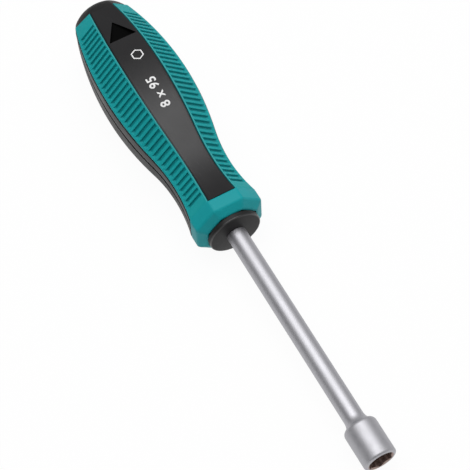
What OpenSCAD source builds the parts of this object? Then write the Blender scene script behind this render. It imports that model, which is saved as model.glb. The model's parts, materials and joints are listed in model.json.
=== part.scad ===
// Nut driver with a two-part moulded handle.
// The tool lies along X with its working end at +X, and +Z is the side of the printed panel.
// The origin is the centre of the socket's mouth. All sizes are millimetres.

/* [Socket head] */
// Across flats of the hexagon
hex_af = 8; // [6:0.5:9]
// Depth of the hexagon from the mouth
hex_depth = 8; // [6:0.5:9]
// Depth of the lead-in cone at the mouth
lead_in = 0.35; // [0.2:0.05:0.6]
// Outer diameter of the socket head
socket_d = 11.6; // [11.5:0.1:14]
// Length of the socket head
socket_len = 14; // [13:0.1:20]
// Rounding of the front edge
lip_round = 0.9; // [0.4:0.1:1.1]
// Rounding of the rear shoulder
shoulder_round = 1.8; // [1:0.1:2.5]

/* [Magnet] */
// Diameter of the magnet, and of the shaft's spigot behind it
magnet_d = 6; // [4:0.5:6.5]
// Thickness of the magnet
magnet_thk = 2.5; // [1.5:0.1:3]

/* [Shaft] */
// Diameter of the round shaft
shaft_d = 7; // [6.6:0.1:8]
// Length from the mouth to the handle's nose
blade_len = 93.8; // [60:0.1:150]
// Length of the flare in front of the socket head
flare_len = 2.7; // [1.5:0.1:5]
// How far the flare rises off the shaft
flare_rise = 0.75; // [0.3:0.05:1]
// Length of shaft held inside the handle
embed_len = 62; // [45:1:80]
// Width over the two flattened wings that stop the shaft turning
wing_span = 11; // [8.5:0.5:14]
// Thickness of the wings
wing_thk = 2.4; // [1.5:0.1:4]
// Length of the wings
wing_len = 14; // [6:1:20]
// Plain shaft behind the wings
wing_margin = 4; // [2:0.5:8]

/* [Handle] */
// Length of the handle from nose to butt
handle_len = 106.1; // [98:0.1:120]
// Across flats at the belly
belly_af = 31.6; // [28:0.1:36]
// Across flats at the waist
waist_af = 22.2; // [20:0.1:24]
// Across flats at the collar
collar_af = 25.3; // [24.5:0.1:28]
// Distance of the belly from the nose
belly_at = 66.3; // [58:0.1:72]
// Distance of the waist from the nose
waist_at = 23.6; // [21:0.1:28]
// Share of the lengthwise S-curve's two radii that the belly takes
belly_curve_share = 0.665; // [0.55:0.005:0.8]
// Rounding between the sides and the butt
butt_round = 6.5; // [4:0.5:8]
// How much of the eight corners the domed butt leaves standing
butt_corner_share = 0.975; // [0.96:0.005:1]
// Share of the girth that the hard panels take
hard_share = 0.515; // [0.4:0.005:0.6]
// How far the hard panels lie below the grip
panel_drop = 0.1; // [0.05:0.05:0.8]
// Gap left beside a hard panel, where the soft grip starts
panel_gap = 0.35; // [0.05:0.05:0.6]

/* [Nose] */
// Diameter of the nose
nose_d = 19.2; // [16:0.1:20]
// How far the nose stands out of the collar
nose_proud = 2.5; // [0.8:0.1:4]
// Rounding of the nose's front edge
nose_round = 0.4; // [0.2:0.1:0.8]
// How far the nose's face rises from its edge to the shaft
nose_rise = 0.4; // [0.1:0.1:0.8]

/* [Triangular recess] */
// Side of the triangle
recess_side = 10.5; // [5:0.5:11.5]
// Depth of the recess
recess_depth = 0.5; // [0.2:0.1:1]
// Distance of the triangle's base from the nose
recess_at = 82.1; // [78:0.1:84]

/* [Grip] */
// Thickness of the soft grip
grip_thk = 2.2; // [1.4:0.1:2.8]
// Length of hard butt behind the grip
butt_cap_len = 6; // [4:0.1:8]
// Length of the collar's sloping front
collar_slope_len = 2.2; // [1:0.1:3]
// Flat land left round the nose
collar_land = 0.15; // [0.1:0.05:0.6]
// Length of the lip that closes the collar round the nose
lip_len = 2.7; // [2:0.1:3.6]
// Distance from one groove to the next
groove_pitch = 2.37; // [1.8:0.05:4]
// Width of a groove at the surface
groove_w = 1.3; // [0.6:0.05:1.5]
// Width of a groove at its floor
groove_floor_w = 1.05; // [0.3:0.05:1.25]
// Depth of a groove
groove_depth = 0.65; // [0.3:0.05:1]
// Length over which a groove's floor rises at its outer end
groove_ramp = 0.9; // [0.3:0.1:1.6]
// Plain border beside the grooves
groove_border = 1.1; // [0.6:0.1:2.4]
// Plain length behind the grooves
groove_butt_margin = 3.35; // [2:0.05:8]
// Plain length between the grooves and the collar
groove_collar_margin = 6.1; // [2:0.1:8]

/* [Hidden] */
$fn = 96;

// Gap left where one piece is pressed or moulded round another
seat_gap = 0.05;
// How far a cut runs past the face that it opens
overrun = 1;

// The handle is a barrel of eight panels, hard and soft by turns
panels = 8;
panel_angle = 360 / panels;
half_panel = panel_angle / 2;
panel_slope = tan(half_panel);
hard_slope = tan(panel_angle * hard_share);
pairs = panels / 2;

// Places along the axis
nose_x = -blade_len;
butt_x = nose_x - handle_len;
waist_x = nose_x - waist_at;
belly_x = nose_x - belly_at;
slope_end_x = nose_x - nose_proud;
collar_x = slope_end_x - collar_slope_len;
grip_end_x = butt_x + butt_cap_len;
lip_x = slope_end_x - lip_len;
crease_x = -socket_len;

// Lengthwise curve of a panel: a belly arc and a waist arc that touch on the line between their centres
belly_r = belly_af / 2;
waist_r = waist_af / 2;
collar_r = collar_af / 2;
nose_r = nose_d / 2;
curve_run = belly_at - waist_at;
curve_rise = belly_r - waist_r;
curve_sum = (curve_run * curve_run + curve_rise * curve_rise) / (2 * curve_rise);
belly_curve = curve_sum * belly_curve_share;
waist_curve = curve_sum - belly_curve;
belly_centre = belly_r - belly_curve;
waist_centre = waist_r + waist_curve;
collar_rise = collar_r - waist_r;
shoulder_x = waist_x + sqrt(2 * waist_curve * collar_rise - collar_rise * collar_rise);
turn_x = belly_x + curve_run * belly_curve_share;

// Distance of the grip's surface from the axis, at a place on the curved length
function panel_r(x) = x < turn_x
    ? belly_centre + sqrt(belly_curve * belly_curve - (x - belly_x) * (x - belly_x))
    : waist_centre - sqrt(waist_curve * waist_curve - (x - waist_x) * (x - waist_x));

// Stations at which the curve is drawn
stations = 24;
function station_x(i) = butt_x + (shoulder_x - butt_x) * i / stations;

// Domed butt: a rounding that runs out along a cone over the panels' corners
dome_x = butt_x + butt_round;
dome_angle = asin((belly_x - dome_x) / belly_curve);
dome_touch_x = dome_x - butt_round * sin(dome_angle);
dome_touch_r = (panel_r(dome_touch_x) - panel_drop) / cos(half_panel) * butt_corner_share;
dome_centre = dome_touch_r - butt_round * cos(dome_angle);
dome_far_r = dome_touch_r + (nose_x - dome_touch_x) * tan(dome_angle);
crown_r = handle_len;

// Grooves
groove_from_x = grip_end_x + groove_butt_margin;
groove_run = shoulder_x - groove_collar_margin - groove_from_x;
grooves = floor(groove_run / groove_pitch);
function groove_x(i) = groove_from_x + i * groove_pitch;

// Triangular recess
triangle_angle = 60;
recess_len = recess_side * sin(triangle_angle);

// Pieces inside the socket head
hex_sides = 6;
hex_corner_r = hex_af / 2 / cos(180 / hex_sides);
flare_curve = (flare_len * flare_len + flare_rise * flare_rise) / (2 * flare_rise);
magnet_x = -hex_depth - magnet_thk;
spigot_len = socket_len - hex_depth - magnet_thk;
shaft_end_x = nose_x - embed_len;

// Turns a shape built along Z so that it runs along X
module along_x() { rotate([0, 90, 0]) children(); }

// Side outline of one pair of opposite panels, drawn in from the grip's surface by inset
module panel_outline(inset) {
    front = nose_r + collar_land;
    upper = concat(
        [for (i = [0 : stations]) [station_x(i), panel_r(station_x(i)) - inset]],
        [[collar_x, collar_r - inset], [slope_end_x, front - inset]]
    );
    lower = [for (i = [len(upper) - 1 : -1 : 0]) [upper[i][0], -upper[i][1]]];
    polygon(concat(upper, lower));
}

// The eight-panel barrel
module barrel(inset) {
    intersection_for (i = [0 : pairs - 1])
        rotate([90 + i * panel_angle, 0, 0])
            linear_extrude(2 * belly_af, center = true) panel_outline(inset);
}

// A block round the axis between two places
module slab(from_x, to_x) {
    translate([from_x, -belly_af, -belly_af]) cube([to_x - from_x, 2 * belly_af, 2 * belly_af]);
}

// The four sectors of the hard panels, each side drawn in by gap
module panel_sectors(from_x, to_x, gap) {
    inner = waist_r / 2;
    outer = belly_af;
    for (i = [0 : pairs - 1])
        rotate([i * 2 * panel_angle, 0, 0])
            translate([from_x, 0, 0])
                rotate([90, 0, 90])
                    linear_extrude(to_x - from_x)
                        polygon([
                            [gap - inner * hard_slope, inner], [inner * hard_slope - gap, inner],
                            [outer * hard_slope - gap, outer], [gap - outer * hard_slope, outer]
                        ]);
}

// Everything in front of the butt's dome
module butt_dome() {
    along_x()
        rotate_extrude()
            intersection() {
                union() {
                    translate([dome_centre, dome_x]) circle(butt_round);
                    polygon([
                        [0, butt_x], [dome_centre, butt_x], [dome_touch_r, dome_touch_x],
                        [dome_far_r, nose_x], [0, nose_x]
                    ]);
                }
                translate([0, butt_x + crown_r]) circle(crown_r);
                translate([0, butt_x]) square([dome_far_r, handle_len]);
            }
}

// One groove of the grip, laid across a panel whose normal is +Z, with its outer end at -Y
module groove(x) {
    top = panel_r(x);
    half_len = top * panel_slope - groove_border;
    translate([x, 0, top])
        intersection() {
            rotate([90, 0, 0])
                linear_extrude(2 * (half_len + overrun), center = true)
                    polygon([
                        [-groove_floor_w / 2, -groove_depth], [groove_floor_w / 2, -groove_depth],
                        [groove_w / 2, 0], [groove_w / 2, overrun],
                        [-groove_w / 2, overrun], [-groove_w / 2, 0]
                    ]);
            rotate([90, 0, 90])
                linear_extrude(2 * groove_w, center = true)
                    polygon([
                        [-half_len, 2 * overrun], [-half_len, 0], [2 * groove_ramp - half_len, -2 * groove_depth],
                        [half_len, -2 * groove_depth], [half_len, 2 * overrun]
                    ]);
        }
}

// Shaft held in the handle, made larger by gap to give the space that holds it
module shaft_root(gap) {
    translate([shaft_end_x - gap, 0, 0])
        along_x() cylinder(h = embed_len + gap, d = shaft_d + 2 * gap);
    translate([shaft_end_x + wing_margin - gap, -wing_span / 2 - gap, -wing_thk / 2 - gap])
        cube([wing_len + 2 * gap, wing_span + 2 * gap, wing_thk + 2 * gap]);
}

// Round steel bar with wings in the handle, a flare and a spigot that carries the socket head
module shaft() {
    color("silver") {
        shaft_root(0);
        along_x()
            rotate_extrude() {
                translate([0, nose_x]) square([shaft_d / 2, crease_x - nose_x]);
                difference() {
                    translate([0, crease_x - flare_len]) square([shaft_d / 2 + flare_rise, flare_len]);
                    translate([shaft_d / 2 + flare_curve, crease_x - flare_len]) circle(flare_curve);
                }
            }
        translate([crease_x, 0, 0]) along_x() cylinder(h = spigot_len, d = magnet_d);
    }
}

// Socket with a rounded shoulder, a hexagon at the front and a bore for magnet and spigot behind it
module socket_head() {
    socket_r = socket_d / 2;
    color("lightgray")
        difference() {
            along_x()
                rotate_extrude() {
                    translate([0, -socket_len]) square([socket_r - shoulder_round, shoulder_round]);
                    translate([0, shoulder_round - socket_len])
                        square([socket_r, socket_len - shoulder_round - lip_round]);
                    translate([0, -lip_round]) square([socket_r - lip_round, lip_round]);
                    intersection() {
                        translate([socket_r - shoulder_round, shoulder_round - socket_len])
                            circle(shoulder_round);
                        translate([socket_r - shoulder_round, -socket_len])
                            square([shoulder_round, shoulder_round]);
                    }
                    intersection() {
                        translate([socket_r - lip_round, -lip_round]) circle(lip_round);
                        translate([socket_r - lip_round, -lip_round]) square([lip_round, lip_round]);
                    }
                }
            translate([-hex_depth, 0, 0])
                along_x() cylinder(h = hex_depth + overrun, r = hex_corner_r, $fn = hex_sides);
            translate([-lead_in, 0, 0]) along_x() cylinder(h = lead_in, r1 = hex_af / 2, r2 = hex_corner_r);
            translate([-socket_len - overrun, 0, 0])
                along_x() cylinder(h = spigot_len + magnet_thk + 2 * overrun, d = magnet_d + 2 * seat_gap);
        }
}

// Disc magnet at the bottom of the hexagon, trapped against the spigot
module magnet() {
    color("dimgray") translate([magnet_x, 0, 0]) along_x() cylinder(h = magnet_thk, d = magnet_d);
}

// Hard core: octagonal barrel with four bare panels, domed butt, round nose and seats for the grip
module handle_core() {
    color("#26262a")
        difference() {
            union() {
                intersection() {
                    barrel(grip_thk + seat_gap);
                    slab(grip_end_x - overrun, lip_x - seat_gap);
                }
                intersection() {
                    barrel(panel_drop);
                    butt_dome();
                    union() {
                        slab(butt_x, grip_end_x - seat_gap);
                        panel_sectors(grip_end_x - overrun, shoulder_x - seat_gap, panel_gap);
                    }
                }
                translate([lip_x - overrun, 0, 0]) along_x() rotate_extrude() nose_outline();
            }
            shaft_root(seat_gap);
            translate([nose_x - overrun, 0, 0])
                along_x() cylinder(h = 2 * overrun, d = shaft_d + 2 * seat_gap);
            triangular_recess();
        }
}

// Half outline of the nose: a rounded edge, and a face that rises to the shaft
module nose_outline() {
    face_y = nose_x - lip_x + overrun;
    edge_y = face_y - nose_rise;
    inner_r = nose_r - nose_round;
    square([nose_r, edge_y - nose_round]);
    translate([inner_r, edge_y - nose_round]) circle(nose_round);
    polygon([[0, 0], [inner_r, 0], [inner_r, edge_y], [shaft_d / 2, face_y], [0, face_y]]);
}

// Equilateral pocket in the top panel, pointing at the butt
module triangular_recess() {
    base_x = nose_x - recess_at;
    floor_z = panel_r(base_x - recess_len) - panel_drop - recess_depth;
    translate([base_x, 0, floor_z])
        linear_extrude(belly_r)
            polygon([[0, -recess_side / 2], [0, recess_side / 2], [-recess_len, 0]]);
}

// Soft grip: four ribbed panels joined by a collar that closes round the nose
module grip() {
    color("#17908f")
        difference() {
            intersection() {
                barrel(0);
                slab(grip_end_x, slope_end_x);
            }
            intersection() {
                barrel(grip_thk);
                slab(grip_end_x - overrun, lip_x);
            }
            translate([lip_x - overrun, 0, 0])
                along_x() cylinder(h = nose_x - lip_x + 2 * overrun, d = nose_d + 2 * seat_gap);
            panel_sectors(grip_end_x - overrun, shoulder_x, 0);
            for (side = [0 : pairs - 1])
                rotate([(2 * side + 1) * panel_angle, 0, 0])
                    mirror([0, side % 2, 0])
                        for (i = [0 : grooves])
                            groove(groove_x(i));
        }
}

shaft();
socket_head();
magnet();
handle_core();
grip();
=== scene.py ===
import json
import math

import bpy
from mathutils import Euler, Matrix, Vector

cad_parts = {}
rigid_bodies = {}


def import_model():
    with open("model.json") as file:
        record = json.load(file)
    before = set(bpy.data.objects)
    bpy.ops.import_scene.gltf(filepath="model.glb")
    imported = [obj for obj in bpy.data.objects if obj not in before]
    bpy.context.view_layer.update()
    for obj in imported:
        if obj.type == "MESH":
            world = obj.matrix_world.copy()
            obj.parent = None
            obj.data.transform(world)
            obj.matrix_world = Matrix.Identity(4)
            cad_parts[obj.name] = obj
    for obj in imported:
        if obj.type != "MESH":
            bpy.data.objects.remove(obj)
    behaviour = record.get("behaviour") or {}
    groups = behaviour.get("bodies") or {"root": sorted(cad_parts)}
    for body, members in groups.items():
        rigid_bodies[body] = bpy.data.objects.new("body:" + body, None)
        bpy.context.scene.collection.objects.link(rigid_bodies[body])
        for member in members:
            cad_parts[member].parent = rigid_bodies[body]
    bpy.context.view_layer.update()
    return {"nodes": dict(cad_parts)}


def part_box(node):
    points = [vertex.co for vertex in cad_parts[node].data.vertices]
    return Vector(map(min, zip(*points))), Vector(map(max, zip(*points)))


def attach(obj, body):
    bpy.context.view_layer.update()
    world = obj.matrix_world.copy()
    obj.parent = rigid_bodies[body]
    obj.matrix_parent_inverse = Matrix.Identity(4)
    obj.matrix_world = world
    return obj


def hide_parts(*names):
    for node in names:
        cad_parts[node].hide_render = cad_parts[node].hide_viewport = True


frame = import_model()
nodes = frame["nodes"]
print("frame loaded:", ", ".join(sorted(nodes)))

mm = 0.001
coreLow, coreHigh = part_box("handle_core")
gripLow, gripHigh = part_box("grip")
socketLow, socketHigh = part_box("socket_head")

# the handle's lengthwise curve: a belly arc and a waist arc that touch
handle = {
    "buttX": coreLow.x,
    "noseX": coreHigh.x,
    "gripEndX": gripLow.x,          # soft grip stops here, short of the butt
    "slopeEndX": gripHigh.x,        # front of the collar
    "slopeLength": 2.2 * mm,
    "bellyFromNose": 66.3 * mm,
    "waistFromNose": 23.6 * mm,
    "bellyRadius": 15.8 * mm,       # from the axis to the flat of a panel
    "waistRadius": 11.1 * mm,
    "collarRadius": 12.65 * mm,
    "bellyCurveShare": 0.665,
    "hardHalf": math.radians(23.175),  # half the angle that a hard panel takes
    "gripDepth": 2.2 * mm,
    "panelDrop": 0.1 * mm,          # hard panels lie this far below the grip
    "gap": 0.05 * mm,
}
panelTurn = math.radians(45)
softHalf = panelTurn - handle["hardHalf"]
bellyX = handle["noseX"] - handle["bellyFromNose"]
waistX = handle["noseX"] - handle["waistFromNose"]
curveRun = waistX - bellyX
curveRise = handle["bellyRadius"] - handle["waistRadius"]
curveSum = (curveRun ** 2 + curveRise ** 2) / (2 * curveRise)
bellyCurve = curveSum * handle["bellyCurveShare"]
waistCurve = curveSum - bellyCurve
turnX = bellyX + curveRun * handle["bellyCurveShare"]
collarRise = handle["collarRadius"] - handle["waistRadius"]
shoulderX = waistX + math.sqrt(2 * waistCurve * collarRise - collarRise ** 2)
collarX = handle["slopeEndX"] - handle["slopeLength"]


def panelRadius(x):
    if x < turnX:
        return handle["bellyRadius"] - bellyCurve + math.sqrt(bellyCurve ** 2 - (x - bellyX) ** 2)
    return handle["waistRadius"] + waistCurve - math.sqrt(waistCurve ** 2 - (x - waistX) ** 2)


def onPanel(x, turn, away, aside):  # a point of the section, seen from the panel at that turn
    outward = Vector((0, math.sin(turn), math.cos(turn)))
    across = Vector((0, math.cos(turn), -math.sin(turn)))
    return Vector((x, 0, 0)) + outward * away + across * aside


# tools for modelling
def startPiece():
    if bpy.context.object and bpy.context.object.mode != "OBJECT":
        bpy.ops.object.mode_set(mode="OBJECT")
    bpy.ops.object.select_all(action="DESELECT")


def pickFaces(piece, wanted):
    bpy.ops.object.mode_set(mode="EDIT")
    bpy.ops.mesh.select_mode(type="FACE")
    bpy.ops.mesh.select_all(action="DESELECT")
    bpy.ops.object.mode_set(mode="OBJECT")
    for face in piece.data.polygons:
        face.select = wanted(face)
    bpy.ops.object.mode_set(mode="EDIT")


def pickEdges(piece, wanted):
    bpy.ops.object.mode_set(mode="EDIT")
    bpy.ops.mesh.select_mode(type="EDGE")
    bpy.ops.mesh.select_all(action="DESELECT")
    bpy.ops.object.mode_set(mode="OBJECT")
    points = piece.data.vertices
    for edge in piece.data.edges:
        edge.select = wanted(points[edge.vertices[0]].co, points[edge.vertices[1]].co)
    bpy.ops.object.mode_set(mode="EDIT")


def closeNormals():
    bpy.ops.mesh.select_all(action="SELECT")
    bpy.ops.mesh.normals_make_consistent(inside=False)
    bpy.ops.object.mode_set(mode="OBJECT")


def applyModifier(piece, kind, **settings):
    modifier = piece.modifiers.new(kind.title(), kind)
    for key, value in settings.items():
        setattr(modifier, key, value)
    bpy.context.view_layer.objects.active = piece
    bpy.ops.object.modifier_apply(modifier=modifier.name)


def finishPiece(piece, node, slotName, *materials):
    piece.data.materials.clear()
    for material in materials:
        piece.data.materials.append(material)
    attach(piece, "root")
    if node:
        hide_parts(node)


def dressFaces(piece, finishes, finishOf):
    for face in piece.data.polygons:
        face.material_index = finishes.index(finishOf(face))


weldGap = 0.0001 * mm


def ringTube(name, rings, endless=False):  # rings are extruded in turn, then laid in their places
    sides = len(rings[0])
    startPiece()
    bpy.ops.mesh.primitive_circle_add(vertices=sides, radius=1, rotation=(0, math.pi / 2, 0))
    bpy.ops.object.transform_apply(rotation=True)
    piece = bpy.context.object
    piece.name = piece.data.name = name
    bpy.ops.object.mode_set(mode="EDIT")
    bpy.ops.mesh.select_all(action="SELECT")
    if endless:  # the last ring comes back to the first
        rings = rings + rings[:1]
    else:
        bpy.ops.mesh.edge_face_add()
    for _ in rings[1:]:
        bpy.ops.mesh.extrude_region_move(TRANSFORM_OT_translate={"value": (1, 0, 0)})
    bpy.ops.object.mode_set(mode="OBJECT")
    step = 2 * math.pi / sides
    for point in piece.data.vertices:
        place = round(math.atan2(point.co.y, point.co.z) / step) % sides
        point.co = rings[round(point.co.x)][place]
    bpy.ops.object.mode_set(mode="EDIT")
    bpy.ops.mesh.select_all(action="SELECT")
    bpy.ops.mesh.remove_doubles(threshold=weldGap)
    closeNormals()
    return piece


def smoothPiece(piece, degrees):
    startPiece()
    bpy.context.view_layer.objects.active = piece
    piece.select_set(True)
    bpy.ops.object.shade_smooth_by_angle(angle=math.radians(degrees))


# shader groups that several finishes share
def newGroup(name, inputs, outputs):
    group = bpy.data.node_groups.new(name, "ShaderNodeTree")
    for label, kind, value in inputs:
        socket = group.interface.new_socket(label, in_out="INPUT", socket_type=kind)
        if value is not None:
            socket.default_value = value
    for label, kind in outputs:
        group.interface.new_socket(label, in_out="OUTPUT", socket_type=kind)
    return group, group.nodes.new("NodeGroupInput"), group.nodes.new("NodeGroupOutput")


def feed(tree, socket, value):  # the value may be another node's output
    if isinstance(value, bpy.types.NodeSocket):
        tree.links.new(value, socket)
    else:
        socket.default_value = value


def addNode(tree, kind, settings=None, **inputs):
    node = tree.nodes.new(kind)
    for key, value in (settings or {}).items():
        setattr(node, key, value)
    for key, value in inputs.items():
        feed(tree, node.inputs[key.replace("_", " ")], value)
    return node


def mathNode(tree, operation, first, second):
    node = addNode(tree, "ShaderNodeMath", {"operation": operation})
    feed(tree, node.inputs[0], first)
    feed(tree, node.inputs[1], second)
    return node.outputs[0]


colourSockets = {"share": 0, "first": 6, "second": 7, "result": 2}  # of a mix node that is set to colours


def mixColours(tree, share, first, second):
    node = addNode(tree, "ShaderNodeMix", {"data_type": "RGBA"})
    for label, value in (("share", share), ("first", first), ("second", second)):
        feed(tree, node.inputs[colourSockets[label]], value)
    return node.outputs[colourSockets["result"]]


plainDrift = 90.0  # how fine the slow drift is where a finish doesn't say


def makeGrain():  # fine moulded grain and a slow drift over the surface
    group, given, result = newGroup(
        "mouldedGrain",
        [("Vector", "NodeSocketVector", None), ("Size", "NodeSocketFloat", 3000.0),
         ("Slow", "NodeSocketFloat", plainDrift)],
        [("Height", "NodeSocketFloat"), ("Drift", "NodeSocketFloat")],
    )
    fine = addNode(group, "ShaderNodeTexNoise", Vector=given.outputs["Vector"],
                   Scale=given.outputs["Size"], Detail=3.0, Roughness=0.6)
    slow = addNode(group, "ShaderNodeTexNoise", Vector=given.outputs["Vector"],
                   Scale=given.outputs["Slow"], Detail=4.0)
    group.links.new(fine.outputs[0], result.inputs["Height"])
    group.links.new(slow.outputs[0], result.inputs["Drift"])
    return group


def makeScuffs():  # sparse thin marks left by handling
    group, given, result = newGroup(
        "handlingScuffs",
        [("Vector", "NodeSocketVector", None), ("Amount", "NodeSocketFloat", 0.5)],
        [("Mask", "NodeSocketFloat")],
    )
    stretch = addNode(group, "ShaderNodeMapping", Vector=given.outputs["Vector"],
                      Rotation=(0.2, 0.1, 0.5), Scale=(260, 2400, 1500))
    lines = addNode(group, "ShaderNodeTexNoise", Vector=stretch.outputs[0], Scale=1.0, Detail=2.0)
    patches = addNode(group, "ShaderNodeTexNoise", Vector=given.outputs["Vector"], Scale=140.0)
    sharp = addNode(group, "ShaderNodeMapRange", Value=lines.outputs[0], From_Min=0.63, From_Max=0.72)
    where = addNode(group, "ShaderNodeMapRange", Value=patches.outputs[0], From_Min=0.5, From_Max=0.66)
    both = mathNode(group, "MULTIPLY", sharp.outputs[0], where.outputs[0])
    group.links.new(mathNode(group, "MULTIPLY", both, given.outputs["Amount"]), result.inputs["Mask"])
    return group


grainGroup = makeGrain()
scuffGroup = makeScuffs()


def newMaterial(name):
    material = bpy.data.materials.new(name)
    material.use_nodes = True
    tree = material.node_tree
    tree.nodes.clear()
    output = tree.nodes.new("ShaderNodeOutputMaterial")
    shader = tree.nodes.new("ShaderNodeBsdfPrincipled")
    tree.links.new(shader.outputs[0], output.inputs["Surface"])
    coordinates = tree.nodes.new("ShaderNodeTexCoord").outputs["Object"]
    return material, tree, shader, coordinates


def placeGroup(tree, group, **inputs):
    return addNode(tree, "ShaderNodeGroup", {"node_tree": group}, **inputs)


def startFinish(name, look):  # what all finishes have: drifting colour and roughness, fine grain, scuffs
    material, tree, shader, place = newMaterial(name)
    grain = placeGroup(tree, grainGroup, Vector=place, Size=look["grainSize"],
                       Slow=look.get("drift", plainDrift))
    scuffs = placeGroup(tree, scuffGroup, Vector=place, Amount=look["scuffs"])
    colour = mixColours(tree, grain.outputs["Drift"], look["dark"], look["light"])
    rough = addNode(tree, "ShaderNodeMapRange", Value=grain.outputs["Drift"], From_Min=0.3, From_Max=0.7,
                    To_Min=look["rough"][0], To_Max=look["rough"][1])
    bump = addNode(tree, "ShaderNodeBump", Height=grain.outputs["Height"],
                   Strength=look["bump"], Distance=look["grainDepth"])
    feed(tree, shader.inputs["Normal"], bump.outputs[0])
    return material, shader, colour, rough.outputs[0], scuffs.outputs["Mask"]


def plasticFinish(name, look):  # moulded plastic or soft grip
    material, shader, colour, rough, scuffs = startFinish(name, look)
    tree = material.node_tree
    feed(tree, shader.inputs["Base Color"], mixColours(tree, scuffs, colour, look["scuffed"]))
    feed(tree, shader.inputs["Roughness"], rough)
    feed(tree, shader.inputs["Specular IOR Level"], look["specular"])
    return material


def gripFinish(name, look):  # moulded soft plastic, with painted shade down in the grooves and seams and a painted highlight on the strips' edges
    material = plasticFinish(name, look)
    tree = material.node_tree
    shader = next(node for node in tree.nodes if node.type == "BSDF_PRINCIPLED")
    surface = shader.inputs["Base Color"].links[0].from_socket
    # paint a highlight on the strip edges, then paint shade in the grooves and seams
    for label, colour, most in (("paintedEdgeHighlight", look["edgeHighlight"], look["edgeHighlightShare"]),
                                ("paintedShade", look["groove"], look["grooveShare"])):
        place = addNode(tree, "ShaderNodeAttribute", {"attribute_name": label})
        share = mathNode(tree, "MULTIPLY", place.outputs["Fac"], most)
        surface = mixColours(tree, share, surface, colour)
    tree.links.new(surface, shader.inputs["Base Color"])
    return material


def steelFinish(name, look):  # satin plate over drawn or forged steel
    material, shader, colour, rough, scuffs = startFinish(name, look)
    tree = material.node_tree
    feed(tree, shader.inputs["Base Color"], colour)
    feed(tree, shader.inputs["Roughness"], mathNode(tree, "ADD", rough, scuffs))
    feed(tree, shader.inputs["Metallic"], 1.0)
    return material


hardPlastic = plasticFinish("hardPlastic", {
    "dark": (0.006, 0.006, 0.007, 1), "light": (0.011, 0.010, 0.011, 1), "scuffed": (0.05, 0.05, 0.05, 1),
    "rough": (0.32, 0.4), "specular": 0.34, "scuffs": 0.35,
    "grainSize": 5200.0, "grainDepth": 0.02 * mm, "bump": 0.35,
})
sidePlastic = plasticFinish("sidePlastic", {
    "dark": (0.006, 0.006, 0.006, 1), "light": (0.010, 0.009, 0.009, 1), "scuffed": (0.05, 0.05, 0.05, 1),
    "rough": (0.43, 0.52), "specular": 0.29, "scuffs": 0.35,
    "grainSize": 3800.0, "grainDepth": 0.03 * mm, "bump": 0.45,
})
softGrip = gripFinish("softGrip", {
    "dark": (0.004, 0.274, 0.287, 1), "light": (0.008, 0.338, 0.35, 1), "scuffed": (0.05, 0.44, 0.44, 1),
    # groove colour: painted shade in the grooves and in the seams beside the strips
    "groove": (0.0, 0.12, 0.135, 1), "grooveShare": 0.75,
    # pale edge colour: painted highlight along the strips' edges
    "edgeHighlight": (0.1, 0.36, 0.36, 1), "edgeHighlightShare": 0.9,
    "rough": (0.5, 0.62), "specular": 0.13, "scuffs": 0.25,
    "grainSize": 4200.0, "grainDepth": 0.02 * mm, "bump": 0.4,
})
collarGrip = plasticFinish("collarGrip", {
    "dark": (0.003, 0.272, 0.298, 1), "light": (0.006, 0.332, 0.358, 1), "scuffed": (0.04, 0.42, 0.43, 1),
    "rough": (0.42, 0.52), "specular": 0.17, "scuffs": 0.4,
    "grainSize": 4200.0, "grainDepth": 0.02 * mm, "bump": 0.4,
})
rubbedPlastic = plasticFinish("rubbedPlastic", {
    "dark": (0.008, 0.008, 0.008, 1), "light": (0.014, 0.013, 0.013, 1), "scuffed": (0.06, 0.06, 0.06, 1),
    "rough": (0.24, 0.32), "specular": 0.7, "scuffs": 0.4,
    "grainSize": 5200.0, "grainDepth": 0.01 * mm, "bump": 0.2,
})
dullPlastic = plasticFinish("dullPlastic", {
    "dark": (0.011, 0.011, 0.011, 1), "light": (0.017, 0.016, 0.016, 1), "scuffed": (0.05, 0.05, 0.05, 1),
    "rough": (0.43, 0.52), "specular": 0.2, "scuffs": 0.3,
    "grainSize": 3600.0, "grainDepth": 0.02 * mm, "bump": 0.4,
})
recessBlack = plasticFinish("recessBlack", {
    "dark": (0.001, 0.001, 0.001, 1), "light": (0.002, 0.002, 0.002, 1), "scuffed": (0.01, 0.01, 0.01, 1),
    "rough": (0.7, 0.8), "specular": 0.04, "scuffs": 0.1,
    "grainSize": 5200.0, "grainDepth": 0.02 * mm, "bump": 0.3,
})
satinChrome = steelFinish("satinChrome", {
    "dark": (0.45, 0.447, 0.475, 1), "light": (0.50, 0.497, 0.52, 1),
    "rough": (0.48, 0.54), "scuffs": 0.08,
    "grainSize": 6500.0, "grainDepth": 0.004 * mm, "bump": 0.2,
})
blastedChrome = steelFinish("blastedChrome", {
    "dark": (0.44, 0.437, 0.463, 1), "light": (0.50, 0.497, 0.52, 1),
    "rough": (0.5, 0.57), "scuffs": 0.08, "drift": 400.0,
    "grainSize": 3200.0, "grainDepth": 0.02 * mm, "bump": 0.3,
})
oxideSteel = steelFinish("oxideSteel", {
    "dark": (0.18, 0.08, 0.06, 1), "light": (0.56, 0.48, 0.44, 1),
    "rough": (0.46, 0.6), "scuffs": 0.2, "drift": 700.0,
    "grainSize": 3500.0, "grainDepth": 0.02 * mm, "bump": 0.4,
})
whiteInk = plasticFinish("whiteInk", {
    "dark": (0.72, 0.72, 0.72, 1), "light": (0.85, 0.85, 0.85, 1), "scuffed": (0.45, 0.45, 0.45, 1),
    "rough": (0.5, 0.6), "specular": 0.4, "scuffs": 0.4,
    "grainSize": 4000.0, "grainDepth": 0.01 * mm, "bump": 0.2,
})
print("finishes made")

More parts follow.
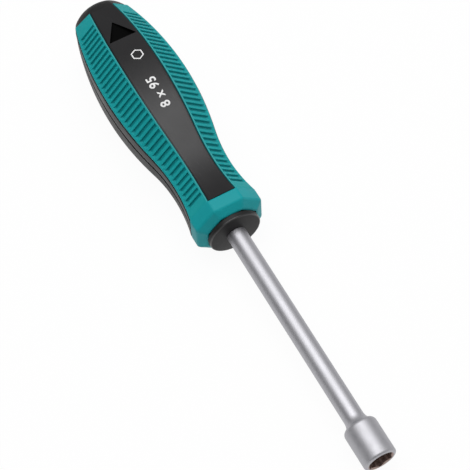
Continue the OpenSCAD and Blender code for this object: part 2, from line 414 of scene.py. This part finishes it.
# hard core: butt dome, four bare panels, bed under the grip, nose
core = {
    "stations": 38,
    "buttRound": 6.5 * mm,
    "cornerShare": 0.975,
    "crown": 105.3 * mm,    # radius of the butt's flat cap
    "crownShare": 0.97,     # the cap's share of the butt's flat
    "crownRings": 4,
    "roundStart": math.radians(80),
    "roundRings": 10,
    "cornerPower": 40,      # higher is a sharper edge between panels
    "domePower": 26,
    "noseRadius": 9.6 * mm,
    "noseRound": 0.4 * mm,
    "noseSteps": 5,
    "noseRise": 0.4 * mm,    # the nose's face rises from its edge to the shaft
    "neckRadius": 9.3 * mm,  # the nose is a little thinner where it leaves the collar
    "neckLength": 0.3 * mm,
    "shaftHole": 3.56 * mm,
    "holeDepth": 3 * mm,
    "seamDepth": 0.3 * mm,   # parting line along the two side panels: a dent, steeper below
    "seamRise": 1.1 * mm,
    "seamFall": 0.3 * mm,
    "smooth": 32,            # degrees
}
# rounded edge of a hard panel: steps in from its border, each with its sink
panelEdge = [
    (0, 0.9 * mm), (0.38 * mm, 0.8 * mm), (0.42 * mm, 0.14 * mm), (0.48 * mm, 0.04 * mm), (0.58 * mm, 0),
]
seamSteps = [-core["seamRise"], -core["seamFall"], 0, core["seamFall"], core["seamRise"]]
# lines of a panel's section: share of its half width, step aside, sink
hardLines = [(-1, step, sink) for step, sink in panelEdge]
hardLines += [(share, 0, 0) for share in (-0.78, -0.4)]
hardLines += [(0, step, 0) for step in seamSteps]
hardLines += [(share, 0, 0) for share in (0.4, 0.78)]
hardLines += [(1, -step, sink) for step, sink in reversed(panelEdge)]
softLines = [(-1, handle["gap"], 0)]
softLines += [(share, 0, 0) for share in (-0.93, -0.8, -0.4, 0, 0.4, 0.8, 0.93)]
softLines += [(1, -handle["gap"], 0)]
ringLines = []
for sector in range(8):
    for line in hardLines if sector % 2 == 0 else softLines:
        ringLines.append((sector, *line))

neckEndX = handle["slopeEndX"] + core["neckLength"]
noseFaceX = handle["noseX"] - core["noseRise"]
noseEdgeR = core["noseRadius"] - core["noseRound"]
domeX = handle["buttX"] + core["buttRound"]
domeAngle = math.asin((bellyX - domeX) / bellyCurve)
domeTouchX = domeX - core["buttRound"] * math.sin(domeAngle)
domeFlat = panelRadius(domeTouchX) - handle["panelDrop"]
domeTouchR = domeFlat / math.cos(panelTurn / 2) * core["cornerShare"]
domeCentre = domeTouchR - core["buttRound"] * math.cos(domeAngle)


def lineAngle(sector, share, step, flat):
    half = handle["hardHalf"] if sector % 2 == 0 else softHalf
    return sector * panelTurn + math.atan(share * math.tan(half) + step / flat)


def buttRing(x, domeRadius):
    flat = panelRadius(x) - handle["panelDrop"]
    ring = []
    for sector, share, step, _ in ringLines:
        angle = lineAngle(sector, share, step, flat)
        total = sum(max(0, math.cos(angle - k * panelTurn)) ** core["cornerPower"] for k in range(8))
        octagon = flat / total ** (1 / core["cornerPower"])
        power = -core["domePower"]
        away = (octagon ** power + domeRadius ** power) ** (1 / power)
        ring.append(onPanel(x, angle, away, 0))
    return ring


def seamSink(up):
    reach = core["seamRise"] if up > 0 else core["seamFall"]
    return core["seamDepth"] * max(0, 1 - abs(up) / reach)


def bedRing(x, panels=True):
    surface = panelRadius(x)
    bed = surface - handle["gripDepth"] - handle["gap"]
    ring = []
    for sector, share, step, sink in ringLines:
        hard = sector % 2 == 0
        away = surface - handle["panelDrop"] - sink if hard and panels else bed
        if hard and panels and sector % 4 == 2 and share == 0:
            away -= seamSink(step if sector == 6 else -step)
        half = handle["hardHalf"] if hard else softHalf
        ring.append(onPanel(x, sector * panelTurn, away, share * away * math.tan(half) + step))
    return ring


def roundRing(x, radius):  # its points keep the turns that they have at the collar
    return [onPanel(x, lineAngle(sector, share, step, handle["collarRadius"]), radius, 0)
            for sector, share, step, _ in ringLines]


def makeCore():
    rings = []
    crownEnd = domeCentre * core["crownShare"]
    for i in range(core["crownRings"]):
        radius = crownEnd * (i + 1) / core["crownRings"]
        x = handle["buttX"] + core["crown"] - math.sqrt(core["crown"] ** 2 - radius ** 2)
        rings.append(buttRing(x, radius))
    for i in range(core["roundRings"] + 1):
        angle = core["roundStart"] + (domeAngle - core["roundStart"]) * i / core["roundRings"]
        x = domeX - core["buttRound"] * math.sin(angle)
        rings.append(buttRing(x, domeCentre + core["buttRound"] * math.cos(angle)))
    stepX = handle["gripEndX"] - handle["gap"]
    rings.append(buttRing(stepX - handle["gap"], domeTouchR + (stepX - domeTouchX) * math.tan(domeAngle)))
    for i in range(core["stations"] + 1):
        rings.append(bedRing(stepX + (shoulderX - handle["gap"] - stepX) * i / core["stations"]))
    rings.append(bedRing(shoulderX - handle["gap"] / 2, panels=False))
    rings.append(roundRing(shoulderX, core["neckRadius"]))
    rings.append(roundRing(neckEndX - handle["gap"], core["neckRadius"]))
    rings.append(roundRing(neckEndX, core["noseRadius"]))
    for i in range(core["noseSteps"] + 1):
        angle = math.pi / 2 * i / core["noseSteps"]
        rings.append(roundRing(noseFaceX - core["noseRound"] + core["noseRound"] * math.sin(angle),
                               noseEdgeR + core["noseRound"] * math.cos(angle)))
    rings.append(roundRing(noseFaceX + core["noseRise"] / 2, (noseEdgeR + core["shaftHole"]) / 2))
    rings.append(roundRing(handle["noseX"], core["shaftHole"]))
    rings.append(roundRing(handle["noseX"] - core["holeDepth"], core["shaftHole"]))
    return ringTube("handleCore", rings)


recess = {
    "side": 10.5 * mm,
    "depth": 0.5 * mm,
    "fromNose": 82.1 * mm,
    "reach": 6 * mm,         # height of the cutter
    "round": 0.25 * mm,
    "tipHalf": math.radians(30),
    "skin": 0.1 * mm,        # faces deeper than this belong to the recess
    "slack": 0.01 * mm,
}
recessBaseX = handle["noseX"] - recess["fromNose"]
recessTipX = recessBaseX - recess["side"] * math.cos(recess["tipHalf"])


def cutRecess(piece):  # triangular pocket in the top panel, pointing at the butt
    radius = recess["side"] / math.sqrt(3)
    floorZ = panelRadius(recessTipX) - handle["panelDrop"] - recess["depth"]
    startPiece()
    bpy.ops.mesh.primitive_cylinder_add(
        vertices=3, radius=radius, depth=recess["reach"], rotation=(0, 0, math.pi / 2),
        location=(recessBaseX - radius / 2, 0, floorZ + recess["reach"] / 2))
    bpy.ops.object.transform_apply(location=True, rotation=True)
    cutter = bpy.context.object
    pickEdges(cutter, lambda a, b: abs(a.z - b.z) > recess["reach"] / 2)
    bpy.ops.mesh.bevel(offset=recess["round"], segments=3)
    bpy.ops.object.mode_set(mode="OBJECT")
    applyModifier(piece, "BOOLEAN", operation="DIFFERENCE", solver="EXACT", object=cutter)
    bpy.data.objects.remove(cutter)


def inRecess(face):
    spot = face.center
    sunk = 0 < spot.z < panelRadius(spot.x) - handle["panelDrop"] - recess["skin"]
    within = abs(spot.y) < (spot.x - recessTipX) * math.tan(recess["tipHalf"]) + recess["slack"]
    return sunk and within and spot.x < recessBaseX + recess["slack"]


def coreFinish(face):  # the side panels, the butt and the nose are duller, and the nose's edge is rubbed
    spot = face.center
    if inRecess(face):
        return recessBlack
    if spot.x > shoulderX:
        onEdge = spot.x > noseFaceX - core["noseRound"] and math.hypot(spot.y, spot.z) > noseEdgeR
        return rubbedPlastic if onEdge else dullPlastic
    if spot.x < handle["gripEndX"]:
        return dullPlastic
    return sidePlastic if abs(spot.y) > abs(spot.z) else hardPlastic


coreObject = makeCore()
cutRecess(coreObject)
smoothPiece(coreObject, core["smooth"])
coreFinishes = (hardPlastic, recessBlack, sidePlastic, rubbedPlastic, dullPlastic)
finishPiece(coreObject, "handle_core", "hard_plastic", *coreFinishes)
dressFaces(coreObject, coreFinishes, coreFinish)
print("core:", len(coreObject.data.polygons), "faces")

# soft grip: a collar, with four ribbed strips drawn back from it
grip = {
    "grooves": 35,
    "pitch": 2.362 * mm,
    "firstFromEnd": 5.9 * mm,
    "width": 1.3 * mm,
    "draft": 0.125 * mm,
    "depth": 0.65 * mm,
    "ramp": 0.8 * mm,       # the floor rises towards the tool's sides over this length
    "border": 0.9 * mm,
    "noseLand": 9.75 * mm,
    "frontInner": 9.0 * mm,
    "softEdge": 0.4 * mm,
    "ridge": 0.6 * mm,
    "grooveEdge": 0.14 * mm,
    "bevelWidth": 1.0 * mm,
    "endReach": 0.4 * mm,   # the strips end this far behind the solid's, by the top and bottom panels
    "endSlant": 1.4 * mm,   # and this much farther back at the tool's sides
    "sides": 16,            # points round the collar, four to a soft panel
    "innerRing": 0.5,       # radius of the tube's inner ring, before its points are laid; the outer is 1
    "landSteps": 3,         # stretches between the collar's shoulder and the first groove
    "softReach": math.radians(30),  # the strips start from faces this near to a soft panel's middle
    "skin": 0.1 * mm,       # a groove starts from faces that lie within this of the surface,
    "middle": 1 * mm,       # this near to the strip's middle line
    "slack": 0.05,          # and this near to the groove's place, as a share of the pitch
    "wall": 4 * mm,         # deeper edges are inside the collar
    "windowHalf": math.radians(24),  # the collar's edges over a hard panel lie within this angle
    "windowLeast": 4 * mm,  # and are at least this long
    "farShade": 0.25,       # painted shade on a groove's collar side, against its butt side
    "deepest": 1.2,         # painted shade stops at this share of a groove's depth
    "seamShade": (0.2, 0.8),  # painted shade in the seam starts and is full at these shares of the soft edge's sink
    "highlightBand": (0.03, 0.25),  # and the painted highlight line lies between these
}
shoulderRow, collarRow, frontRow = range(3)  # rows of the tube's points; the strips' rows are negative


def grooveX(i):
    return handle["gripEndX"] + grip["firstFromEnd"] + i * grip["pitch"]


def gripStations():  # from the collar back to the butt
    lastGroove = grooveX(grip["grooves"] - 1) + grip["width"] / 2
    land = lastGroove - shoulderX
    stations = [shoulderX + land * i / grip["landSteps"] for i in range(1, grip["landSteps"])]
    for i in reversed(range(grip["grooves"])):
        stations += [grooveX(i) + grip["width"] / 2, grooveX(i) - grip["width"] / 2]
    firstGroove = stations[-1]
    stations += [(firstGroove + handle["gripEndX"]) / 2, handle["gripEndX"]]
    return stations


def stripEndX(sideShare):  # minus 1 is the edge by the top or bottom panel, 1 is the edge by a side panel
    return handle["gripEndX"] - grip["endReach"] - grip["endSlant"] * (1 + sideShare) / 2


def placeGripPoint(point, places):
    row = round(point.x)
    x = places[row]
    outer = math.hypot(point.y, point.z) > (1 + grip["innerRing"]) / 2
    around = math.atan2(point.y, point.z) % (2 * math.pi)
    panel, role = divmod(int(around // (2 * math.pi / grip["sides"])), 4)
    surface = handle["collarRadius"] if row >= shoulderRow else panelRadius(x)
    if row == frontRow:
        surface = grip["noseLand"]
    away = surface if outer else surface - handle["gripDepth"]
    if row == frontRow and not outer:
        away = grip["frontInner"]
    edge = away * math.tan(softHalf)
    border = surface * math.tan(softHalf) - grip["border"] if outer else edge / 2
    aside = (-edge, -border, border, edge)[role]
    turn = panelTurn * (1 + 2 * panel)
    if row == min(places):
        x = stripEndX(aside * math.sin(2 * turn) / edge)
        shrink = 1 - (surface - panelRadius(x)) / away
        away, aside = away * shrink, aside * shrink
    return onPanel(x, turn, away, aside)


def makeGrip():
    back = gripStations()
    places = {shoulderRow: shoulderX, collarRow: collarX, frontRow: handle["slopeEndX"]}
    places.update({-i - 1: x for i, x in enumerate(back)})
    startPiece()
    bpy.ops.mesh.primitive_circle_add(vertices=grip["sides"], radius=1, rotation=(0, math.pi / 2, 0))
    bpy.ops.object.transform_apply(rotation=True)
    piece = bpy.context.object
    piece.name = piece.data.name = "softGrip"
    bpy.ops.object.mode_set(mode="EDIT")
    bpy.ops.mesh.select_all(action="SELECT")
    halfStep = math.pi / grip["sides"]
    bpy.ops.transform.rotate(value=halfStep, orient_axis="X", center_override=(0, 0, 0))
    bpy.ops.mesh.extrude_edges_move()
    inner = grip["innerRing"]
    bpy.ops.transform.resize(value=(1, inner, inner), center_override=(0, 0, 0))
    bpy.ops.mesh.select_all(action="SELECT")
    bpy.ops.mesh.select_mode(type="FACE")
    for _ in range(2):
        bpy.ops.mesh.extrude_region_move(TRANSFORM_OT_translate={"value": (1, 0, 0)})
    closeNormals()

    def softBack(face):  # the tube's back faces, apart from those over the hard panels
        turn = math.atan2(face.center.y, face.center.z) % (2 * panelTurn)
        back = round(face.center.x, 2) == shoulderRow and round(abs(face.normal.x)) == 1
        return back and abs(turn - panelTurn) < grip["softReach"]

    pickFaces(piece, softBack)
    for _ in back:
        bpy.ops.mesh.extrude_region_move(TRANSFORM_OT_translate={"value": (-1, 0, 0)})
    bpy.ops.object.mode_set(mode="OBJECT")
    for point in piece.data.vertices:
        point.co = placeGripPoint(point.co, places)
    bpy.ops.object.mode_set(mode="EDIT")
    closeNormals()
    return piece


def stripTurn(point):  # the way that the nearest soft panel faces
    turn = math.atan2(point.y, point.z)
    return math.floor(turn / (2 * panelTurn)) * 2 * panelTurn + panelTurn


def stripSpot(point):  # distance along the soft panel's normal, distance aside
    normal = stripTurn(point)
    away = point.y * math.sin(normal) + point.z * math.cos(normal)
    aside = point.y * math.cos(normal) - point.z * math.sin(normal)
    return away, aside


def cutGrooves(piece):
    def inGroove(face):
        x = face.center.x
        index = (x - grooveX(0)) / grip["pitch"]
        away, aside = stripSpot(face.center)
        onTop = x < shoulderX and away > panelRadius(x) - grip["skin"]
        return onTop and abs(aside) < grip["middle"] and abs(index - round(index)) < grip["slack"]

    pickFaces(piece, inGroove)
    bpy.ops.mesh.inset(thickness=grip["draft"], depth=-grip["depth"], use_individual=True)
    bpy.ops.object.mode_set(mode="OBJECT")
    floors = {index for face in piece.data.polygons if face.select for index in face.vertices}
    for index in floors:
        point = piece.data.vertices[index]
        turn = stripTurn(point.co)
        away, aside = stripSpot(point.co)
        if aside * math.sin(2 * turn) > 0:
            point.co = onPanel(point.co.x, turn, away, aside - math.copysign(grip["ramp"], aside))
    bpy.ops.object.mode_set(mode="EDIT")
    bpy.ops.mesh.select_more()
    weigh(grip["grooveEdge"])


def weigh(width):
    bpy.ops.transform.edge_bevelweight(value=width / grip["bevelWidth"])


def stripShare(point):  # how far across its strip a point lies, towards the tool's side
    away, aside = stripSpot(point)
    return aside * math.sin(2 * stripTurn(point)) / (away * math.tan(softHalf))


def softenGrip(piece):
    tolerance = 0.02 * mm

    def edgeLine(point):
        away, aside = stripSpot(point)
        nearTop = away > panelRadius(min(point.x, shoulderX)) - grip["wall"]
        return nearTop and abs(abs(aside) - away * math.tan(softHalf)) < tolerance

    def outside(point):
        away, _ = stripSpot(point)
        if point.x > collarX + tolerance:
            return away > grip["noseLand"] - tolerance
        surface = panelRadius(point.x) if point.x < shoulderX else handle["collarRadius"]
        return away > surface - tolerance

    def lengthwise(a, b):
        return abs(a.x - b.x) > tolerance and all(outside(point) and edgeLine(point) for point in (a, b))

    def stripEdge(a, b):
        return lengthwise(a, b) and max(a.x, b.x) < shoulderX + tolerance

    def ridge(a, b):
        return lengthwise(a, b) and min(a.x, b.x) > shoulderX - tolerance

    def acrossAt(x):
        return lambda a, b: all(abs(point.x - x) < tolerance and outside(point) for point in (a, b))

    def stripEnd(a, b):
        return all(abs(point.x - stripEndX(stripShare(point))) < tolerance and outside(point)
                   for point in (a, b))

    def windowFront(a, b):  # where the collar starts, over a hard panel
        turns = [math.atan2(point.y, point.z) % (2 * panelTurn) for point in (a, b)]
        nearHard = all(min(turn, 2 * panelTurn - turn) < grip["windowHalf"] for turn in turns)
        return acrossAt(shoulderX)(a, b) and nearHard and (a - b).length > grip["windowLeast"]

    for wanted, width in (
        (stripEdge, grip["softEdge"]), (ridge, grip["ridge"]), (acrossAt(collarX), grip["ridge"]),
        (acrossAt(handle["slopeEndX"]), grip["softEdge"]), (windowFront, grip["softEdge"]),
        (stripEnd, grip["softEdge"]),
    ):
        pickEdges(piece, wanted)
        weigh(width)
        bpy.ops.object.mode_set(mode="OBJECT")
    applyModifier(piece, "BEVEL", width=grip["bevelWidth"], segments=3, limit_method="WEIGHT",
                  use_clamp_overlap=False)


def markGrip(piece):  # for the finish: painted shade in a groove's butt side and in the seams, and a painted highlight on the strip edges
    shadeValues = piece.data.attributes.new("paintedShade", "FLOAT", "POINT")
    edgeHighlight = piece.data.attributes.new("paintedEdgeHighlight", "FLOAT", "POINT")
    seamLow, seamHigh = grip["seamShade"]
    highlightLow, highlightHigh = grip["highlightBand"]
    for point, depth, highlight in zip(piece.data.vertices, shadeValues.data, edgeHighlight.data):
        if point.co.x > shoulderX:
            continue
        away, aside = stripSpot(point.co)
        sunk = panelRadius(point.co.x) - away
        if abs(aside) < away * math.tan(softHalf) - grip["border"] / 2:
            index = (point.co.x - grooveX(0)) / grip["pitch"]
            # painted shade: full on a groove's butt side, less on its collar side, darker with depth
            shade = 1 if index < round(index) else grip["farShade"]
            share = sunk / grip["depth"]
            depth.value = max(0, shade * share) if share < grip["deepest"] else 0
        else:
            # painted shade down the strip's side wall into the seam, and a painted highlight line near
            # the top of its soft edge
            share = sunk / grip["softEdge"]
            depth.value = min(1, max(0, share - seamLow) / (seamHigh - seamLow))
            # painted highlight line on the strip's soft edge
            highlight.value = 1 if highlightLow < share < highlightHigh else 0


gripObject = makeGrip()
cutGrooves(gripObject)
bpy.ops.object.mode_set(mode="OBJECT")
softenGrip(gripObject)
markGrip(gripObject)
gripObject.select_set(True)
bpy.ops.object.shade_smooth()
applyModifier(gripObject, "WEIGHTED_NORMAL", keep_sharp=True)
gripFinishes = (softGrip, collarGrip)
finishPiece(gripObject, "grip", "soft_grip", *gripFinishes)
dressFaces(gripObject, gripFinishes, lambda face: collarGrip if face.center.x > shoulderX else softGrip)
print("grip:", len(gripObject.data.polygons), "faces")

# steel: a bar with a flare at the front, a socket head with a hexagon, a magnet behind the hexagon
shaftLow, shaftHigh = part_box("shaft")
steel = {
    "sides": 96,
    "barRadius": 3.5 * mm,
    "flareLength": 2.7 * mm,
    "flareRise": 0.75 * mm,
    "flareSteps": 8,
    "spigotRadius": 3 * mm,
    "endChamfer": 0.4 * mm,
    "wingLength": 14 * mm,
    "wingThickness": 2.4 * mm,
    "wingFromEnd": 4 * mm,
    "wingRound": 0.5 * mm,
    "smooth": 30,           # degrees
}
socketHead = {
    "lipRound": 0.9 * mm,
    "shoulderRound": 1.8 * mm,
    "hexFlats": 8 * mm,
    "hexDepth": 8 * mm,
    "leadIn": 0.35 * mm,
    "leadSteps": 3,
    "boreRadius": 3.05 * mm,
    "arcSteps": 8,
    "brownRadius": 4.64 * mm,   # just past the hexagon's corners
    "brownDepth": 8.8 * mm,     # just past its floor
}
hexTurn = math.radians(60)


def turnedRing(x, radiusAt):
    angles = [2 * math.pi * i / steel["sides"] for i in range(steel["sides"])]
    return [onPanel(x, angle, radiusAt(angle) if callable(radiusAt) else radiusAt, 0) for angle in angles]


def makeShaft():
    bar = steel["barRadius"]
    creaseX = socketLow.x
    rings = [turnedRing(shaftLow.x, bar - steel["endChamfer"]),
             turnedRing(shaftLow.x + steel["endChamfer"], bar)]
    flareStart = creaseX - steel["flareLength"]
    curve = (steel["flareLength"] ** 2 + steel["flareRise"] ** 2) / (2 * steel["flareRise"])
    for i in range(steel["flareSteps"] + 1):
        step = steel["flareLength"] * i / steel["flareSteps"]
        rings.append(turnedRing(flareStart + step, bar + curve - math.sqrt(curve ** 2 - step ** 2)))
    rings.append(turnedRing(creaseX, steel["spigotRadius"]))
    rings.append(turnedRing(shaftHigh.x, steel["spigotRadius"]))
    piece = ringTube("steelShaft", rings)
    startPiece()
    middleX = shaftLow.x + steel["wingFromEnd"] + steel["wingLength"] / 2
    bpy.ops.mesh.primitive_cube_add(size=1, location=(middleX, 0, 0))
    wings = bpy.context.object
    wings.scale = (steel["wingLength"], shaftHigh.y - shaftLow.y, steel["wingThickness"])
    bpy.ops.object.transform_apply(location=True, scale=True)
    bpy.ops.object.mode_set(mode="EDIT")
    bpy.ops.mesh.select_all(action="SELECT")
    bpy.ops.mesh.bevel(offset=steel["wingRound"], segments=2)
    bpy.ops.object.mode_set(mode="OBJECT")
    applyModifier(piece, "BOOLEAN", operation="UNION", solver="EXACT", object=wings)
    bpy.data.objects.remove(wings)
    return piece


def hexRadius(angle):  # corners point up and down
    return socketHead["hexFlats"] / 2 / math.cos(angle % hexTurn - hexTurn / 2)


def makeSocketHead():
    outer = socketHigh.y
    backX, frontX = socketLow.x, socketHigh.x
    corner = hexRadius(0)
    shoulder, lip = socketHead["shoulderRound"], socketHead["lipRound"]
    turns = [math.pi / 2 * i / socketHead["arcSteps"] for i in range(socketHead["arcSteps"] + 1)]
    rings = [turnedRing(backX, socketHead["boreRadius"])]
    for turn in turns:
        rings.append(turnedRing(backX + shoulder - shoulder * math.cos(turn),
                                outer - shoulder + shoulder * math.sin(turn)))
    for turn in turns:
        rings.append(turnedRing(frontX - lip + lip * math.sin(turn), outer - lip + lip * math.cos(turn)))
    flat = socketHead["hexFlats"] / 2
    for i in range(socketHead["leadSteps"] + 1):
        share = i / socketHead["leadSteps"]
        cone = corner + (flat - corner) * share
        rings.append(turnedRing(frontX - socketHead["leadIn"] * share,
                                lambda angle: max(hexRadius(angle), cone)))
    rings.append(turnedRing(frontX - socketHead["hexDepth"], hexRadius))
    rings.append(turnedRing(frontX - socketHead["hexDepth"], socketHead["boreRadius"]))
    return ringTube("socketHead", rings, endless=True)


def socketFinish(face):  # brown inside the hexagon
    within = math.hypot(face.center.y, face.center.z) < socketHead["brownRadius"]
    inHexagon = within and face.center.x > socketHigh.x - socketHead["brownDepth"]
    return oxideSteel if inHexagon else blastedChrome


shaftObject = makeShaft()
smoothPiece(shaftObject, steel["smooth"])
finishPiece(shaftObject, "shaft", "shaft_steel", satinChrome)
socketObject = makeSocketHead()
smoothPiece(socketObject, steel["smooth"])
socketFinishes = (blastedChrome, oxideSteel)
finishPiece(socketObject, "socket_head", "socket_steel", *socketFinishes)
dressFaces(socketObject, socketFinishes, socketFinish)
nodes["magnet"].data.materials.clear()
nodes["magnet"].data.materials.append(oxideSteel)
print("steel turned and finished")

# print on the top panel: a hexagon outline and plain size numbers
marks = {
    "hexX": -166.4 * mm, "hexY": 0.9 * mm, "hexRadius": 2.35 * mm, "hexLine": 0.42 * mm,
    "text": "8 x 95", "textX": -149.0 * mm, "textY": 0.2 * mm, "textHeight": 4.8 * mm,
    "textSpacing": 1.08, "textWeight": 0.1 * mm,
    "film": 0.02 * mm, "lift": 0.012 * mm, "cuts": 2,
}


def layPrint(piece):  # lays a flat print on the panel's curve and gives it a film's thickness
    startPiece()
    bpy.context.view_layer.objects.active = piece
    piece.select_set(True)
    bpy.ops.object.mode_set(mode="EDIT")
    bpy.ops.mesh.select_all(action="SELECT")
    bpy.ops.mesh.subdivide(number_cuts=marks["cuts"])
    bpy.ops.object.mode_set(mode="OBJECT")
    for point in piece.data.vertices:
        point.co.z = panelRadius(point.co.x) - handle["panelDrop"] + marks["lift"]
    applyModifier(piece, "SOLIDIFY", thickness=marks["film"], offset=1)
    finishPiece(piece, None, "hard_plastic", whiteInk)


def makeHexMark():
    startPiece()
    bpy.ops.mesh.primitive_circle_add(
        vertices=6, radius=marks["hexRadius"], location=(marks["hexX"], marks["hexY"], 0),
        rotation=(0, 0, math.pi / 2))
    bpy.ops.object.transform_apply(location=True, rotation=True)
    piece = bpy.context.object
    piece.name = piece.data.name = "hexMark"
    bpy.ops.object.mode_set(mode="EDIT")
    bpy.ops.mesh.select_all(action="SELECT")
    bpy.ops.mesh.extrude_edges_move()
    inner = 1 - marks["hexLine"] / (marks["hexRadius"] * math.cos(hexTurn / 2))
    bpy.ops.transform.resize(value=(inner, inner, 1), center_override=(marks["hexX"], marks["hexY"], 0))
    bpy.ops.object.mode_set(mode="OBJECT")
    layPrint(piece)


def makeSizeMark():
    startPiece()
    bpy.ops.object.text_add(location=(marks["textX"], marks["textY"], 0), rotation=(0, 0, math.pi))
    piece = bpy.context.object
    piece.data.body = marks["text"]
    piece.data.align_x = "CENTER"
    piece.data.align_y = "CENTER"
    piece.data.size = marks["textHeight"]
    piece.data.space_character = marks["textSpacing"]
    piece.data.offset = marks["textWeight"]
    bpy.ops.object.convert(target="MESH")
    piece = bpy.context.object
    bpy.ops.object.transform_apply(location=True, rotation=True)
    piece.name = piece.data.name = "sizeMark"
    layPrint(piece)


makeHexMark()
makeSizeMark()
print("print laid on the top panel")

# floor under the tool as it lies: on its belly and the edge of its collar
stage = {"size": 20.0, "gap": 0.02 * mm, "white": (0.88, 0.88, 0.88, 1), "glow": 0.95}
bellySteps = 60
bellySpots = [handle["gripEndX"] + (turnX - handle["gripEndX"]) * i / bellySteps
              for i in range(bellySteps)]
restTilt = max(math.atan2(panelRadius(x) - handle["collarRadius"], collarX - x) for x in bellySpots)


def makeFloor():
    startPiece()
    contact = (collarX, 0, -handle["collarRadius"] - stage["gap"])
    bpy.ops.mesh.primitive_plane_add(size=stage["size"], location=contact, rotation=(0, -restTilt, 0))
    floor = bpy.context.object
    floor.name = "floor"
    material = bpy.data.materials.new("paleFloor")
    material.use_nodes = True
    tree = material.node_tree
    tree.nodes.clear()
    output = tree.nodes.new("ShaderNodeOutputMaterial")
    matt = addNode(tree, "ShaderNodeBsdfDiffuse", Color=stage["white"])
    glow = addNode(tree, "ShaderNodeEmission", Color=(1, 1, 1, 1), Strength=1.0)
    path = tree.nodes.new("ShaderNodeLightPath")
    seen = mathNode(tree, "MAXIMUM", path.outputs["Is Camera Ray"], path.outputs["Is Glossy Ray"])
    seen = mathNode(tree, "MAXIMUM", seen, path.outputs["Is Transmission Ray"])
    share = mathNode(tree, "MULTIPLY", seen, stage["glow"])
    mix = tree.nodes.new("ShaderNodeMixShader")
    tree.links.new(share, mix.inputs[0])
    tree.links.new(matt.outputs[0], mix.inputs[1])
    tree.links.new(glow.outputs[0], mix.inputs[2])
    tree.links.new(mix.outputs[0], output.inputs["Surface"])
    floor.data.materials.append(material)


makeFloor()

# soft studio light
lights = {
    "overhead": {"place": (-0.31, -0.02, 0.95), "size": (0.55, 1.27), "tilt": -9.0, "power": 7.0},
    "worldLow": (0.27, 0.27, 0.275, 1),
    "worldHigh": (0.52, 0.52, 0.52, 1),
    "worldTop": 0.9,        # height at which the upper colour is reached
    "leftStrength": 0.5,
    "rightStrength": 1.5,
}


def makeLamp(name, values):
    lamp = bpy.data.objects.new(name, bpy.data.lights.new(name, "AREA"))
    lamp.data.shape = "ELLIPSE"
    lamp.data.size, lamp.data.size_y = values["size"]
    lamp.data.energy = values["power"]
    lamp.location = values["place"]
    lamp.rotation_euler = (0, math.radians(values["tilt"]), 0)
    bpy.context.scene.collection.objects.link(lamp)


def makeWorld():
    world = bpy.data.worlds.new("studio")
    bpy.context.scene.world = world
    world.use_nodes = True
    tree = world.node_tree
    tree.nodes.clear()
    output = tree.nodes.new("ShaderNodeOutputWorld")
    direction = tree.nodes.new("ShaderNodeTexCoord").outputs["Generated"]
    parts = addNode(tree, "ShaderNodeSeparateXYZ", Vector=direction)
    rise = addNode(tree, "ShaderNodeMapRange", Value=parts.outputs["Z"],
                   From_Min=0.0, From_Max=lights["worldTop"]).outputs[0]
    colour = mixColours(tree, rise, lights["worldLow"], lights["worldHigh"])
    strength = addNode(tree, "ShaderNodeMapRange", Value=parts.outputs["Y"], From_Min=-1.0, From_Max=1.0,
                       To_Min=lights["leftStrength"], To_Max=lights["rightStrength"]).outputs[0]
    light = addNode(tree, "ShaderNodeBackground", Color=colour, Strength=strength)
    tree.links.new(light.outputs[0], output.inputs["Surface"])


makeLamp("overhead", lights["overhead"])
makeWorld()

# camera at the photograph's angle
view = {
    "place": (148.15 * mm, -115.77 * mm, 468.95 * mm),
    "turn": (29.680, 1.860, 61.270),
    "lens": 122.55,
    "sensor": 36.0,
}
camera = bpy.data.objects.new("camera", bpy.data.cameras.new("camera"))
camera.data.lens = view["lens"]
camera.data.sensor_width = view["sensor"]
camera.location = view["place"]
camera.rotation_euler = Euler([math.radians(turn) for turn in view["turn"]])
bpy.context.scene.collection.objects.link(camera)
bpy.context.scene.camera = camera
bpy.context.scene.view_settings.view_transform = "Standard"
print("light and camera set")
